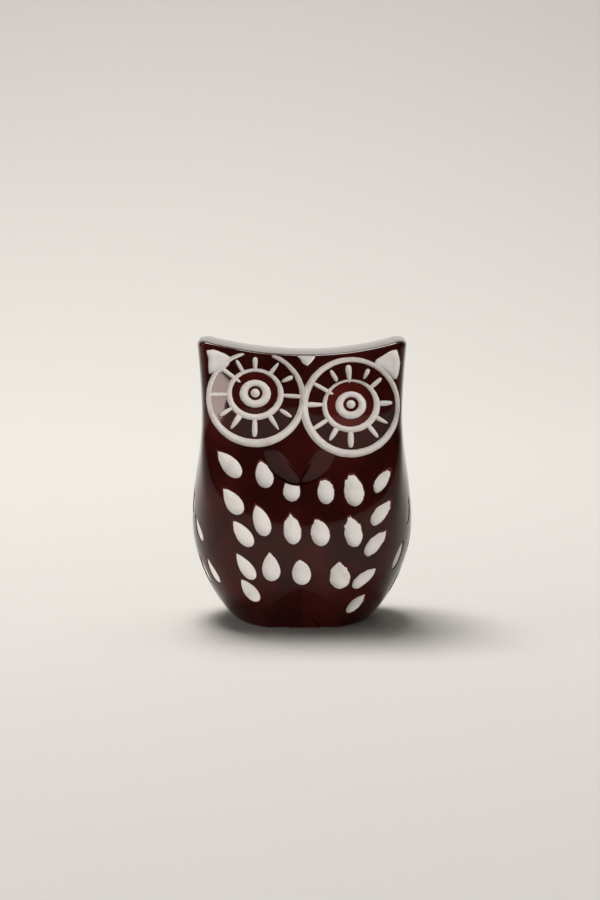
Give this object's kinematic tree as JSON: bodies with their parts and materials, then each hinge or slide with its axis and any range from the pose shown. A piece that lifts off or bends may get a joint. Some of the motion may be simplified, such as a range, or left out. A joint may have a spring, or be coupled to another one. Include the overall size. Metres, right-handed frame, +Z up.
{
  "type": "carved owl figurine",
  "caption": "Small flat-bottomed owl figurine: a pale block under dark gloss lacquer, with ringed eyes and feather marks cut through the lacquer.",
  "frame": {"origin": "middle of the flat base, at the height of what the owl stands on", "axes": "+Z up, the owl faces -Y, +X to the right of someone facing it"},
  "size_m": [0.0388, 0.028, 0.05],
  "materials": {
    "pale_block": "bare carved surface, sealed to a soft sheen",
    "dark_lacquer": "dark oxblood lacquer, polished to a high gloss"
  },
  "bodies": {
    "root": {"carved_block": "pale_block", "body_lacquer": "dark_lacquer", "left_eye_lower_field": "dark_lacquer", "left_eye_side_field": "dark_lacquer", "left_eye_iris_ring": "dark_lacquer", "left_eye_pupil_ring": "dark_lacquer", "right_eye_main_field": "dark_lacquer", "right_eye_lower_side_field": "dark_lacquer", "right_eye_upper_side_field": "dark_lacquer", "right_eye_iris_ring": "dark_lacquer", "right_eye_pupil_ring": "dark_lacquer"}
  },
  "joints": []
}
